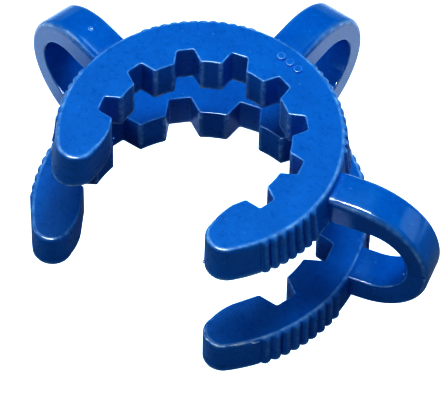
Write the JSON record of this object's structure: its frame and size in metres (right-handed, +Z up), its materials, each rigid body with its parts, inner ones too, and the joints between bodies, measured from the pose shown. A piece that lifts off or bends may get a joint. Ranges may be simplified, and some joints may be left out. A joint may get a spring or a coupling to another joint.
{
  "type": "ground glass joint clip",
  "caption": "Moulded spring clip that snaps round a conical glass joint: a small and a large toothed open ring held apart by folded straps, each strap forming a closed eye.",
  "frame": {"origin": "on the common axis of the two rings, in the plane of the large ring's underside, on which the clip rests", "axes": "+Z up along the ring axis, from the large ring to the small ring; the open mouth of both rings faces -Y, the rear strap points along +Y"},
  "size_m": [0.0482, 0.0368, 0.0167],
  "materials": {
    "clip": "satin blue, fine grain on the flat faces"
  },
  "bodies": {
    "root": {"clip": "clip"}
  },
  "joints": []
}
